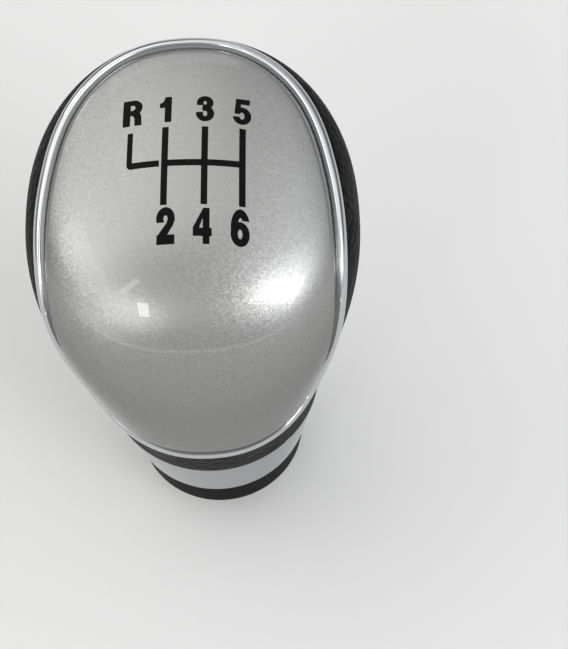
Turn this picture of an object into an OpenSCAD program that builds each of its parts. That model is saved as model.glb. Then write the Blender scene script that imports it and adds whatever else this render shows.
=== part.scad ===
/* [Head] */
// Overall height, from the nose to the crown
head_top = 108; // [105:0.5:114]
// Height of the neck, where the grip cover meets the skirt
neck_z = 41; // [39:0.5:43]
// Outer radius of the neck
neck_r = 23.2; // [22.8:0.1:25]
// How far the crown lies behind the lever axis
crown_set_back = 20.5; // [18:0.5:22]
// How far the flat of the crown reaches toward the front
crown_front = 44; // [41:0.5:46]
// How far the flat of the crown reaches toward the back
crown_back = 41; // [38:0.5:43]
// How far the flat of the crown reaches to each side
crown_side = 56; // [52:0.5:58]
// Share of the head's height over which the front rises
front_rise = 0.84; // [0.8:0.01:0.88]
// Share of the head's height over which the back rises
back_rise = 0.87; // [0.83:0.01:0.9]
// Share of the head's height over which the sides rise
side_rise = 0.48; // [0.44:0.01:0.52]
// How far the front leans out on its way up
front_lean = 9; // [8:0.1:10]
// How far the back leans out on its way up
back_lean = 12; // [10:0.1:13]
// How far the sides draw in above the neck
side_waist = 2.3; // [1.5:0.1:3]
// Squareness of the level sections, where 2 is an ellipse
roundness = 2.28; // [2.1:0.02:2.4]
// Height above the neck over which the sections turn from round to square
square_rise = 20; // [14:1:28]

/* [Parting line] */
// Height at which the parting line leaves the back
seam_back_z = 105.5; // [104.5:0.1:106]
// How far the parting line's upright run lies in front of the lever axis
seam_run_f = 12.6; // [11.5:0.1:13.5]
// Height of the middle of the upright run
seam_run_z = 74; // [72:0.5:76]
// Height of the parting line's foot, at the front
seam_foot_z = 50; // [48.5:0.1:51]
// Length over which the parting line stays level on the crown
seam_level = 39; // [36:0.5:41]
// Fall of the parting line over that length
seam_fall = 5.5; // [4:0.1:7]
// Pull of the upright run at its upper end
seam_shoulder = 28; // [25:0.5:30]
// Pull of the upright run at its lower end
seam_foot = 24; // [22:0.5:26]
// How far behind the crown's middle the parting line's curve starts
seam_back_out = 22; // [20:0.5:24]
// How far in front of the lever axis the curve ends
seam_front_out = 34; // [32:0.5:36]

/* [Shells] */
// Wall of the grip cover, and depth of the trim ring and the face plate
shell_t = 2.4; // [2.2:0.1:2.8]
// Visible width of the trim ring
trim_w = 2.1; // [1.8:0.1:2.4]
// How far the trim ring stands proud of the head
trim_proud = 0.5; // [0.3:0.05:0.6]
// Width of the ledge of the trim ring, on which the face plate lies
ledge_w = 1.5; // [1.2:0.1:2]
// Depth of that ledge below the head's surface
ledge_depth = 1.3; // [1.2:0.05:1.5]
// Width of the face plate's rolled edge
face_edge_w = 1.5; // [1.2:0.1:1.8]
// Depth of the face plate's rolled edge
face_edge_h = 1; // [0.7:0.05:1]
// Radius of the posts behind the face plate
post_r = 2; // [1.6:0.1:2.4]
// Length of those posts
post_l = 8; // [6:0.5:10]
// Depth of the posts' roots in the face plate
post_root = 1; // [0.8:0.1:1.2]
// Distance of the upper and lower posts from the face's middle
post_up = 10; // [8:0.5:12]
// Distance of the side posts from the face's middle
post_out = 14; // [11:0.5:15]

/* [Core] */
// Radius of the lever's bore
bore_r = 6.3; // [6.1:0.05:6.6]
// Radius of the guide tube
tube_r = 8.8; // [8.6:0.1:9.2]
// Radius of the nose at its tip
nose_r = 9.7; // [9.5:0.1:10.2]
// Radius of the nose at its shoulder
nose_shoulder_r = 10.8; // [10.7:0.1:11.2]
// Height of the nose's shoulder
nose_h = 4; // [3:0.1:5]
// Thickness of the core's ribs
rib_t = 3; // [2:0.2:4]
// Thickness of the core's floor, in the neck
floor_t = 4; // [3:0.2:6]
// Radius of the column that holds the insert
column_r = 12.5; // [11.5:0.1:14]
// Thickness of the column's cap
column_cap_t = 4; // [2.5:0.5:6]
// Wall of the bosses that take the face plate's posts
boss_wall = 1.8; // [1.4:0.1:2.4]
// Gap between a boss's mouth and the face plate
boss_gap = 3; // [2.6:0.1:4]

/* [Insert] */
// Wall radius of the M12 thread in the insert
thread_r = 5.32; // [5.2:0.01:5.5]
// Outer radius of the insert
insert_r = 8; // [7.6:0.1:8.6]
// Length of the insert
insert_l = 20; // [16:0.5:24]
// Depth of the insert above the floor of the neck
insert_in = 3; // [2:0.5:5]
// Depth of the insert's two grip grooves
groove_d = 0.6; // [0.4:0.1:0.8]
// Width of those grooves
groove_w = 2.4; // [1.6:0.2:3]
// Free depth above the insert
relief_l = 5; // [3:0.5:8]

/* [Skirt] */
// Height of the skirt's mouth
mouth_z = 21; // [20:0.5:22.5]
// Wall of the skirt
skirt_t = 1.8; // [1.4:0.1:2.2]
// Wall of the skirt at its lip
lip_t = 0.7; // [0.6:0.05:0.9]
// Thickness of the skirt's top
skirt_top_t = 2.2; // [1.8:0.1:3]
// Thickness of the spring ring under the skirt's top
clip_t = 1.2; // [1:0.1:1.5]
// Radial width of the spring ring
clip_w = 3; // [2.5:0.1:3.5]
// Depth of the spring ring's groove
clip_groove = 0.8; // [0.6:0.05:1]
// Width of the spring ring's opening
clip_gap = 3; // [2:0.2:5]

/* [Lift ring] */
// Outer radius of the lift ring
ring_r = 18.95; // [18.6:0.05:19.2]
// Height of the lift ring's underside
ring_z = 9.5; // [9:0.1:10.5]
// Radius of the lift ring's lower edge
ring_round = 3; // [2:0.1:3.5]
// Radius of the lift ring's upper edge
ring_top_round = 1; // [0.6:0.1:1.2]
// Wall of the lift ring
ring_wall = 2.4; // [2.2:0.1:3]
// Thickness of the lift ring's floor
ring_floor_t = 2; // [1.6:0.1:2.5]
// Travel of the lift ring
ring_travel = 8; // [6:0.5:9]
// Wall of the hub that slides on the guide tube
hub_wall = 2; // [1.6:0.1:2.4]
// Number of webs that stiffen the wall
web_n = 6; // [3:1:8]
// Thickness of those webs
web_t = 1.4; // [1:0.1:2]
// Height of those webs
web_h = 6; // [4:0.5:8]
// Outer radius of the slotted sleeve at its top
sleeve_top_r = 14.3; // [14:0.1:14.8]
// Outer radius of the slotted sleeve at its lower end
sleeve_end_r = 12.4; // [12.2:0.1:12.8]
// Wall of the sleeve's fingers
finger_t = 1.5; // [1.2:0.1:1.7]
// Height of the hooks at the fingers' lower ends
hook_h = 1.4; // [1:0.1:2]
// Number of narrow slots and as many wide ones
slot_n = 3; // [2:1:4]
// Width of the narrow slots
slot_narrow = 2.4; // [1.5:0.1:3]
// Width of the wide slots
slot_wide = 6; // [4:0.1:7]

/* [Return spring] */
// Diameter of the spring's wire
wire_d = 1.4; // [1.2:0.1:1.6]
// Radial gap between the hub and the spring
spring_gap = 0.7; // [0.4:0.1:1]
// Number of the spring's open turns
spring_turns = 5; // [4:1:7]

/* [Fits] */
// Running clearance of the lift ring on the guide tube
run_fit = 0.1; // [0.05:0.01:0.1]
// Clearance between parts that are assembled but don't run
seat_fit = 0.1; // [0.05:0.01:0.15]
// Clearance between the core's ribs and the shells
rib_fit = 0.4; // [0.35:0.01:0.5]
// Gap between the lift ring and the skirt's bore
ring_gap = 0.3; // [0.3:0.05:0.5]

/* [Hidden] */
$fn = 96;
// How far a cutting shape runs past what it cuts
overcut = 1;
// Columns round the parting line, and rows of the shells
columns = 64;
cover_rows = 20;
face_rows = 8;
// Point inside the head from which its surface is met by rays
eye = [0, 6, 74];
// Direction of the middle of the face, from that point
face_pole = unit([0, -0.6, 0.8]);

// A cubic curve, and a vector of length 1
function bez(a, b, c, d, t) =
    pow(1 - t, 3) * a + 3 * pow(1 - t, 2) * t * b + 3 * (1 - t) * t * t * c + pow(t, 3) * d;
function unit(v) = v / norm(v);

// The head's front, back and side outlines, each as distance against height
head_h = head_top - neck_z;
outline_steps = 64;
function outline(lean, rise, reach, end) = [
    for (i = [0:outline_steps])
        let (p = bez([neck_r, neck_z], [neck_r + lean, neck_z + rise * head_h],
                     [end + reach, head_top], [end, head_top], i / outline_steps))
        [p[1], p[0]]
];
front_line = outline(front_lean, front_rise, crown_front, -crown_set_back);
back_line = outline(back_lean, back_rise, crown_back, crown_set_back);
side_line = outline(-side_waist, side_rise, crown_side, 0);

// A level section is round at the neck and squarer above it
function squareness(z) =
    let (t = min(1, max(0, (z - neck_z) / square_rise)))
    2 + (roundness - 2) * t * t * (3 - 2 * t);
// Below 0 inside the head, above 0 outside it
function outside(p) =
    p[2] >= head_top ? 1 :
    let (f = lookup(p[2], front_line), b = lookup(p[2], back_line),
         w = lookup(p[2], side_line), n = squareness(p[2]))
    pow(abs(p[0]) / w, n) + pow(abs(-p[1] - (f - b) / 2) / ((f + b) / 2), n) - 1;
reach_low = 8;
reach_high = 80;
reach_steps = 18;
// How far the head's surface lies from a point inside it
function reach(from, dir, lo = reach_low, hi = reach_high, steps = reach_steps) =
    let (mid = (lo + hi) / 2)
    steps == 0 ? mid :
    outside(from + mid * dir) < 0 ? reach(from, dir, mid, hi, steps - 1)
                                  : reach(from, dir, lo, mid, steps - 1);
// The point of the head's surface that is seen from the eye toward p
function on_head(p) = let (dir = unit(p - eye)) eye + reach(eye, dir) * dir;
normal_step = 0.3;
function normal(p) = unit([for (i = [0:2])
    let (h = [for (j = [0:2]) i == j ? normal_step : 0])
    outside(p + h) - outside(p - h)]);
function below_head(p, depth) = let (q = on_head(p)) q - depth * normal(q);

// The parting line in the side view, as [distance in front of the axis, height], from the
// back at 0 over its upright run at 1 to the front at 2
seam_start = [-crown_set_back - seam_back_out, seam_back_z];
seam_run = [seam_run_f, seam_run_z];
seam_end = [seam_front_out, seam_foot_z];
seam_start_pull = [seam_level, -seam_fall];
seam_upper_pull = [-0.6, seam_shoulder];
seam_lower_pull = [0.5, -seam_foot];
seam_end_pull = [-1.8, 2.6];
function seam(u) = u < 1
    ? bez(seam_start, seam_start + seam_start_pull, seam_run + seam_upper_pull, seam_run, u)
    : bez(seam_run, seam_run + seam_lower_pull, seam_end + seam_end_pull, seam_end, u - 1);
// The square of the seam's distance from the middle plane, below 0 past the head's outline
function seam_inside(u) = let (s = seam(u)) -outside([0, -s[0], s[1]]);
function seam_cross(inner, outer, steps) =
    steps == 0 ? inner :
    let (mid = (inner + outer) / 2)
    seam_inside(mid) > 0 ? seam_cross(mid, outer, steps - 1) : seam_cross(inner, mid, steps - 1);
seam_u0 = seam_cross(1.4, 2, 24);
seam_u1 = seam_cross(0.3, 0, 24);
function seam_point(u) =
    let (s = seam(u), q = max(0, seam_inside(u)))
    [lookup(s[1], side_line) * pow(q, 1 / squareness(s[1])), -s[0], s[1]];

// Equal steps along one half of the parting line, from the front foot to the back
seam_steps = 120;
function seam_u(t) = seam_u0 + (seam_u1 - seam_u0) * (1 - cos(180 * t)) / 2;
seam_line = [for (i = [0:seam_steps]) seam_point(seam_u(i / seam_steps))];
seam_sums = [for (i = 0, s = 0; i <= seam_steps; i = i + 1,
    s = i <= seam_steps ? s + norm(seam_line[i] - seam_line[i - 1]) : s) [s, i / seam_steps]];
seam_half = seam_sums[seam_steps][0];
function seam_at(k) =
    let (m = k % columns, left = m > columns / 2, j = left ? columns - m : m,
         p = seam_point(seam_u(lookup(seam_half * j * 2 / columns, seam_sums))))
    left ? [-p[0], p[1], p[2]] : p;
// The way from the parting line into the face, along the head's surface
function seam_side(k) =
    unit(cross(normal(seam_at(k)), seam_at(k + 1) - seam_at(k + columns - 1)));
// A point that lies a distance inside the parting line and a depth below the surface
function seam_inset(k, inset, depth) = below_head(seam_at(k) + inset * seam_side(k), depth);

// A closed skin over rows of points, where the last row meets the first
module ring_skin(rows) {
    m = len(rows);
    n = len(rows[0]);
    polyhedron([for (row = rows) each row],
        [for (i = [0:m - 1], j = [0:n - 1])
            let (a = i * n + j, b = i * n + (j + 1) % n,
                 d = (i + 1) % m * n + j, c = (i + 1) % m * n + (j + 1) % n)
            each [[a, b, c], [a, c, d]]]);
}
// A closed skin over rows of points between two end points
module cap_skin(first, rows, last) {
    m = len(rows);
    n = len(rows[0]);
    end = m * n + 1;
    polyhedron([first, for (row = rows) each row, last],
        concat(
            [for (j = [0:n - 1]) [0, 1 + (j + 1) % n, 1 + j]],
            [for (i = [0:m - 2], j = [0:n - 1])
                let (a = 1 + i * n + j, b = 1 + i * n + (j + 1) % n)
                each [[a, b, b + n], [a, b + n, a + n]]],
            [for (j = [0:n - 1])
                [end, end - n + j, end - n + (j + 1) % n]]));
}

// Grip cover: a soft-touch shell from the parting line down to the neck
function neck_point(k, r) = let (a = 360 * k / columns) [r * sin(a), -r * cos(a), neck_z];
function cover_point(k, t, depth) =
    let (a = unit(seam_inset(k, -seat_fit, 0) - eye), b = unit(neck_point(k, neck_r) - eye),
         turn = acos(a * b))
    t == 0 ? seam_inset(k, -seat_fit, depth) :
    t == 1 ? neck_point(k, neck_r - depth) :
    below_head(eye + sin(turn * (1 - t)) * a + sin(turn * t) * b, depth);
// The rows lie closer together near the parting line
function cover_share(i) = pow(i / cover_rows, 1.3);
module grip_cover() {
    color("#28282a") ring_skin([
        for (i = [0:cover_rows])
            [for (k = [0:columns - 1]) cover_point(k, cover_share(i), 0)],
        for (i = [cover_rows:-1:0])
            [for (k = [0:columns - 1]) cover_point(k, cover_share(i), shell_t)]
    ]);
}

// Trim ring: a bright bead round the face, with a ledge under the face plate
trim_section = [
    [0, shell_t], [0, -trim_proud * 0.3], [trim_w * 0.15, -trim_proud * 0.75],
    [trim_w * 0.5, -trim_proud], [trim_w * 0.85, -trim_proud * 0.75], [trim_w, -trim_proud * 0.2],
    [trim_w, ledge_depth], [trim_w + ledge_w, ledge_depth], [trim_w + ledge_w, shell_t]
];
module trim_ring() {
    color("#c8cacc") ring_skin([
        for (i = [len(trim_section) - 1:-1:0])
            [for (k = [0:columns - 1]) seam_inset(k, trim_section[i][0], trim_section[i][1])]
    ]);
}

// Posts behind the face plate: one above and one below its middle and one at each side, all
// along the way in which the plate is pushed home
face_down = [0, -face_pole[2], face_pole[1]];
boss_feet = [eye - post_up * face_down, eye + post_up * face_down,
             eye + [post_out, 0, 0], eye - [post_out, 0, 0]];
// Stands its children along that way on each boss's foot, and tells them as $home how far the
// head's surface lies from there
module at_posts() {
    for (foot = boss_feet)
        let ($home = reach(foot, face_pole))
            translate(foot) rotate([atan2(-face_pole[1], face_pole[2]), 0, 0]) children();
}

// Face plate: a domed plate with a rolled edge, rebated over the trim ring's ledge
rim_in = trim_w + seat_fit;
rebate_in = trim_w + ledge_w + seat_fit;
rebate_depth = ledge_depth - seat_fit;
function face_point(k, t, depth, inset) =
    let (a = face_pole, b = unit(seam_inset(k, inset, 0) - eye), turn = acos(a * b))
    below_head(eye + sin(turn * (1 - t)) * a + sin(turn * t) * b, depth);
module face_dome() {
    edge = [for (a = [0:30:90]) [rim_in + face_edge_w * (1 - sin(a)), face_edge_h * (1 - cos(a))]];
    cap_skin(
        on_head(eye + face_pole),
        [
            for (i = [1:face_rows - 1])
                [for (k = [0:columns - 1])
                    face_point(k, i / face_rows, 0, rim_in + face_edge_w)],
            for (e = edge)
                [for (k = [0:columns - 1]) seam_inset(k, e[0], e[1])],
            [for (k = [0:columns - 1]) seam_inset(k, rim_in, rebate_depth)],
            [for (k = [0:columns - 1]) seam_inset(k, rebate_in, rebate_depth)],
            for (i = [face_rows:-1:1])
                [for (k = [0:columns - 1]) face_point(k, i / face_rows, shell_t, rebate_in)]
        ],
        below_head(eye + face_pole, shell_t));
}
module face_plate() {
    color("#b4b5b3") union() {
        face_dome();
        at_posts() translate([0, 0, $home - shell_t - post_l])
            cylinder(r = post_r, h = post_l + post_root);
    }
}

// Core: nose, guide tube, neck floor, insert column and ribs, moulded in one piece
skirt_under_z = neck_z - skirt_top_t;
clip_z = skirt_under_z - seat_fit - clip_t;
insert_z = neck_z + insert_in;
rib_depth = shell_t + rib_fit;
// The inner outline of the shells in an upright plane through the eye
function rib_edge(dir) =
    let (p = on_head(eye + dir))
    eye + (norm(p - eye) - rib_depth / (normal(p) * dir)) * dir;
rib_turns = [-130:5:130];
module rib_middle() {
    rotate([90, 0, 90]) translate([0, 0, -rib_t / 2]) linear_extrude(rib_t)
        intersection() {
            polygon([for (a = rib_turns)
                let (p = rib_edge([0, sin(a), cos(a)])) [p[1], p[2]]]);
            translate([-crown_side, neck_z]) square([2 * crown_side, head_h]);
        }
}
module rib_across() {
    translate([0, eye[1], 0]) rotate([90, 0, 0]) translate([0, 0, -rib_t / 2])
        linear_extrude(rib_t) intersection() {
            polygon([for (a = rib_turns)
                let (p = rib_edge([sin(a), 0, cos(a)])) [p[0], p[2]]]);
            translate([-crown_side, neck_z]) square([2 * crown_side, head_h]);
        }
}
floor_r = neck_r - shell_t - seat_fit * 2;
column_top = insert_z + insert_l + relief_l + column_cap_t;
module core() {
    color("#1c1c1e") difference() {
        union() {
            rotate_extrude() polygon([
                [0, 0], [nose_r, 0], [nose_shoulder_r, nose_h], [tube_r, nose_h],
                [tube_r, clip_z], [tube_r - clip_groove, clip_z],
                [tube_r - clip_groove, clip_z + clip_t], [tube_r, clip_z + clip_t],
                [tube_r, neck_z], [floor_r, neck_z], [floor_r, neck_z + floor_t],
                [column_r, neck_z + floor_t], [column_r, column_top], [0, column_top]
            ]);
            rib_middle();
            rib_across();
            at_posts() cylinder(r = post_r + seat_fit + boss_wall, h = $home - shell_t - boss_gap);
        }
        translate([0, 0, -overcut]) cylinder(r = bore_r, h = insert_z + insert_l + relief_l + overcut);
        translate([0, 0, insert_z]) cylinder(r = insert_r, h = insert_l);
        at_posts() translate([0, 0, $home - shell_t - post_l - seat_fit])
            cylinder(r = post_r + seat_fit, h = post_l + shell_t);
    }
}

// Threaded insert: a brass bush with two grip grooves
module threaded_insert() {
    color("#b8953f") translate([0, 0, insert_z]) rotate_extrude() polygon([
        [thread_r, 0], [insert_r, 0],
        for (i = [1:2]) let (low = insert_l * i / 3 - groove_w / 2, high = low + groove_w) each [
            [insert_r, low], [insert_r - groove_d, low],
            [insert_r - groove_d, high], [insert_r, high]
        ],
        [insert_r, insert_l], [thread_r, insert_l]
    ]);
}

// Skirt: a bright tapered collar, open below for the lift ring
module skirt() {
    skirt_bore_r = ring_r + ring_gap;
    color("#c8cacc") rotate_extrude() polygon([
        [tube_r + seat_fit, skirt_under_z], [neck_r - skirt_t, skirt_under_z],
        [skirt_bore_r, mouth_z + ring_travel + ring_gap], [skirt_bore_r, mouth_z],
        [skirt_bore_r + lip_t, mouth_z], [neck_r, neck_z], [tube_r + seat_fit, neck_z]
    ]);
}

// Spring ring that holds the skirt up against the core
module skirt_clip() {
    groove_r = tube_r - clip_groove;
    cut_h = clip_t + 2 * overcut;
    color("#8a8c90") translate([0, 0, clip_z]) difference() {
        cylinder(r = groove_r + clip_w, h = clip_t);
        translate([0, 0, -overcut]) cylinder(r = groove_r, h = cut_h);
        translate([-clip_gap / 2, 0, -overcut]) cube([clip_gap, groove_r + clip_w + overcut, cut_h]);
    }
}

// Return spring: a coil with one closed turn at each end, between the lift ring's floor
// and the skirt's top
spring_steps = 16;
spring_sides = 8;
spring_low = ring_z + ring_floor_t + seat_fit + wire_d / 2;
spring_high = skirt_under_z - seat_fit - wire_d / 2;
spring_r = tube_r + run_fit + hub_wall + spring_gap + wire_d / 2;
spring_pitch = (spring_high - spring_low - 2 * wire_d) / spring_turns;
function spring_z(turn) =
    turn < 1 ? spring_low + turn * wire_d :
    turn > spring_turns + 1 ? spring_high - (spring_turns + 2 - turn) * wire_d :
    spring_low + wire_d + (turn - 1) * spring_pitch;
function spring_ring(turn) = let (a = 360 * turn) [
    for (i = [0:spring_sides - 1])
        let (b = 360 * (i + 0.5) / spring_sides, r = spring_r + wire_d / 2 * cos(b))
        [r * cos(a), r * sin(a), spring_z(turn) + wire_d / 2 * sin(b)]];
module return_spring() {
    n = spring_sides;
    last = spring_steps * (spring_turns + 2);
    color("#9a9ca0") polyhedron(
        [for (i = [0:last]) each spring_ring(i / spring_steps)],
        concat(
            [[for (j = [n - 1:-1:0]) j]],
            [for (i = [0:last - 1], j = [0:n - 1])
                let (a = i * n + j, b = i * n + (j + 1) % n)
                each [[a, b + n, a + n], [a, b, b + n]]],
            [[for (j = [0:n - 1]) last * n + j]]));
}

// Lift ring: a flanged ring that slides on the guide tube, with a slotted sleeve below
module finger_slot(wide) {
    translate([0, -wide / 2, nose_h - overcut])
        cube([sleeve_top_r + overcut, wide, ring_z - nose_h + overcut]);
}
module lift_ring() {
    bore = tube_r + run_fit;
    hub_r = bore + hub_wall;
    floor_z = ring_z + ring_floor_t;
    finger_r = sleeve_end_r - finger_t;
    web_in = spring_r + wire_d / 2 + spring_gap;
    color("#202022") difference() {
        union() {
            rotate_extrude() union() {
                // The flange, with its rounded lower and upper edges
                difference() {
                    translate([bore, ring_z]) square([ring_r - bore, mouth_z - ring_z]);
                    translate([ring_r - ring_round, ring_z])
                        difference() {
                            translate([0, -overcut]) square(ring_round + overcut);
                            translate([0, ring_round]) circle(ring_round);
                        }
                    translate([ring_r - ring_top_round, mouth_z - ring_top_round])
                        difference() {
                            square(ring_top_round + overcut);
                            circle(ring_top_round);
                        }
                    translate([hub_r, floor_z])
                        square([ring_r - ring_wall - hub_r, mouth_z - floor_z + overcut]);
                }
                // The sleeve, thicker at its hooks
                polygon([
                    [sleeve_top_r, floor_z], [sleeve_top_r, ring_z], [sleeve_end_r, nose_h],
                    [bore, nose_h], [bore, nose_h + hook_h], [finger_r, nose_h + hook_h],
                    [sleeve_top_r - finger_t, ring_z], [sleeve_top_r - finger_t, floor_z]
                ]);
            }
            for (i = [0:web_n - 1]) rotate([0, 0, 360 * (i + 0.5) / web_n])
                translate([web_in, -web_t / 2, ring_z + ring_floor_t / 2])
                    cube([ring_r - ring_wall / 2 - web_in, web_t, web_h + ring_floor_t / 2]);
        }
        // Narrow and wide slots part the fingers
        for (i = [0:slot_n - 1]) {
            rotate([0, 0, 360 * i / slot_n]) finger_slot(slot_narrow);
            rotate([0, 0, 360 * (i + 0.5) / slot_n]) finger_slot(slot_wide);
        }
    }
}

core();
threaded_insert();
grip_cover();
trim_ring();
face_plate();
skirt();
skirt_clip();
lift_ring();
return_spring();
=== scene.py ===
# %% [markdown]
# # A gear shift knob with a lift ring
# The knob is a hollow head on a moulded core. The head is one smooth, egg-like form that two
# shells share: a black, soft-touch grip and a silver face, with a bright frame between them.
# Below it come a bright tapered skirt and a black ring that is lifted to reach reverse.
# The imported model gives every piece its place. This lesson gives them their finish, and makes
# the head's shells again with many more points, so that their reflections run smoothly.

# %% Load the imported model
import math
import bpy
import bmesh
import numpy as np
from mathutils import Matrix, Vector


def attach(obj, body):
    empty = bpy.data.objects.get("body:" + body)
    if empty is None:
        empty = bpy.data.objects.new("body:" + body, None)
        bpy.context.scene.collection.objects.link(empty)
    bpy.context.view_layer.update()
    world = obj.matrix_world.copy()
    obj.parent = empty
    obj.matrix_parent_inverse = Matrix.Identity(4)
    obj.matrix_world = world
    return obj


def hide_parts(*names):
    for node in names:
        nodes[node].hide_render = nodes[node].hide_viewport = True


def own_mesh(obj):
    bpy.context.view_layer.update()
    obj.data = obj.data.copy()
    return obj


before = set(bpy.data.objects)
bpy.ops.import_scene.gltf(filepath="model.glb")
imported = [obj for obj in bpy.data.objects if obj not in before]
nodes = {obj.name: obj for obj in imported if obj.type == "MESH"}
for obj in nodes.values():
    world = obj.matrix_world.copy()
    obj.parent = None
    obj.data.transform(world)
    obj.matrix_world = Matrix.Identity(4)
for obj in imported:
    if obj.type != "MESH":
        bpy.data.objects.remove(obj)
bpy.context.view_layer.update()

MM = 0.001
print("nodes:", ", ".join(sorted(nodes)))

# %% [markdown]
# ## The camera
# The photograph looks down on the face from the driver's side. The camera stands where that
# view was taken from, worked out from the outlines of the head, the frame and the skirt.

# %% Place the camera
CAMERA_SPOT = Vector((21.05, -140.43, 336.24)) * MM
CAMERA_RIGHT = Vector((0.9990, -0.0300, -0.0328))
CAMERA_BACK = Vector((0.0155, -0.4561, 0.8898))
FOCAL_MM = 82.9

def place_camera():
    data = bpy.data.cameras.new("camera")
    camera = bpy.data.objects.new("camera", data)
    bpy.context.collection.objects.link(camera)
    back = CAMERA_BACK.normalized()
    right = (CAMERA_RIGHT - CAMERA_RIGHT.dot(back) * back).normalized()
    up = back.cross(right)
    turn = Matrix((right, up, back)).transposed()
    camera.matrix_world = Matrix.Translation(CAMERA_SPOT) @ turn.to_4x4()
    data.lens = FOCAL_MM
    data.clip_start = 0.01
    bpy.context.scene.camera = camera
    return camera

camera = place_camera()
print("camera at", [round(v, 3) for v in camera.location])

# %% [markdown]
# ## The head's surface
# The level sections of the head are rounded squares between an ellipse and a box. Three
# curves give their reach to the front, the back and the sides at every height. The shells,
# the frame and the print are all laid on this one surface, so they meet without gaps.

# %% Sizes of the head, in millimetres
HEAD_TOP = 108.0
NECK_Z = 41.0
NECK_R = 23.2
CROWN_SET_BACK = 20.5
CROWN_FRONT = 44.0
CROWN_BACK = 41.0
CROWN_SIDE = 56.0
FRONT_RISE = 0.84
BACK_RISE = 0.87
SIDE_RISE = 0.48
FRONT_LEAN = 9.0
BACK_LEAN = 12.0
SIDE_WAIST = 2.3
ROUNDNESS = 2.28
SQUARE_RISE = 20.0
HEAD_H = HEAD_TOP - NECK_Z
EYE = np.array([0.0, 6.0, 74.0])
FACE_POLE = np.array([0.0, -0.6, 0.8])
EYE_NEAR = 8.0
EYE_FAR = 80.0
HALVINGS = 40
NORMAL_STEP = 0.1
OUTLINE_POINTS = 4001

def unit(v):
    return v / np.linalg.norm(v, axis=-1, keepdims=True)

def cubic(a, b, c, d, t):
    a, b, c, d = (np.asarray(p, float) for p in (a, b, c, d))
    t = np.asarray(t, float)[..., None]
    return (1 - t) ** 3 * a + 3 * (1 - t) ** 2 * t * b + 3 * (1 - t) * t ** 2 * c + t ** 3 * d

def outline(lean, rise, reach, end):
    t = np.linspace(0, 1, OUTLINE_POINTS)
    return cubic((NECK_R, NECK_Z), (NECK_R + lean, NECK_Z + rise * HEAD_H),
                 (end + reach, HEAD_TOP), (end, HEAD_TOP), t)

FRONT_LINE = outline(FRONT_LEAN, FRONT_RISE, CROWN_FRONT, -CROWN_SET_BACK)
BACK_LINE = outline(BACK_LEAN, BACK_RISE, CROWN_BACK, CROWN_SET_BACK)
SIDE_LINE = outline(-SIDE_WAIST, SIDE_RISE, CROWN_SIDE, 0)

def along(line, z):
    return np.interp(z, line[:, 1], line[:, 0])

def squareness(z):
    t = np.clip((z - NECK_Z) / SQUARE_RISE, 0, 1)
    return 2 + (ROUNDNESS - 2) * t * t * (3 - 2 * t)

def outside(p):
    front = along(FRONT_LINE, p[..., 2])
    back = along(BACK_LINE, p[..., 2])
    side = np.maximum(along(SIDE_LINE, p[..., 2]), 1e-6)
    n = squareness(p[..., 2])
    deep = np.abs((-p[..., 1] - (front - back) / 2) / ((front + back) / 2))
    value = np.abs(p[..., 0] / side) ** n + deep ** n - 1
    return np.where(p[..., 2] >= HEAD_TOP, 1.0, value)

def meet(start, way, near, far):
    near = np.full(start.shape[:-1], float(near))
    far = np.full(start.shape[:-1], float(far))
    for _ in range(HALVINGS):
        mid = (near + far) / 2
        inside = outside(start + mid[..., None] * way) < 0
        near = np.where(inside, mid, near)
        far = np.where(inside, far, mid)
    return start + near[..., None] * way

def on_head(p):
    way = unit(p - EYE)
    return meet(np.broadcast_to(EYE, way.shape), way, EYE_NEAR, EYE_FAR)

def normal(p):
    steps = np.eye(3) * NORMAL_STEP
    return unit(np.stack([outside(p + s) - outside(p - s) for s in steps], axis=-1))

def below_head(p, depth):
    q = on_head(p)
    return q - np.asarray(depth)[..., None] * normal(q)

# %% [markdown]
# ## The parting line
# Seen from the side, the face and the grip part along one S-shaped curve: level over the
# crown, upright down the side, then forward to the foot. It is two cubic curves, and its
# place across the head follows from the surface.

# %% The parting line in equal steps
SEAM_START = np.array([-CROWN_SET_BACK - 22.0, 105.5])
SEAM_RUN = np.array([12.6, 74.0])
SEAM_END = np.array([34.0, 50.0])
START_PULL = np.array([39.0, -5.5])
UPPER_PULL = np.array([-0.6, 28.0])
LOWER_PULL = np.array([0.5, -24.0])
END_PULL = np.array([-1.8, 2.6])
SEAM_POINTS = 3001
SEAM_HALVINGS = 50

def seam(u):
    upper = cubic(SEAM_START, SEAM_START + START_PULL, SEAM_RUN + UPPER_PULL, SEAM_RUN,
                  np.clip(u, 0, 1))
    lower = cubic(SEAM_RUN, SEAM_RUN + LOWER_PULL, SEAM_END + END_PULL, SEAM_END,
                  np.clip(u - 1, 0, 1))
    return np.where((np.asarray(u) < 1)[..., None], upper, lower)

def seam_inside(u):
    s = seam(u)
    return -outside(np.stack([0 * s[..., 0], -s[..., 0], s[..., 1]], axis=-1))

def seam_cross(inner, outer):
    for _ in range(SEAM_HALVINGS):
        mid = (inner + outer) / 2
        if seam_inside(np.array(mid)) > 0:
            inner = mid
        else:
            outer = mid
    return inner

SEAM_U0 = seam_cross(1.4, 2.0)
SEAM_U1 = seam_cross(0.3, 0.0)

def seam_point(u):
    s = seam(u)
    q = np.maximum(seam_inside(u), 0)
    x = along(SIDE_LINE, s[..., 1]) * q ** (1 / squareness(s[..., 1]))
    return np.stack([x, -s[..., 0], s[..., 1]], axis=-1)

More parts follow.
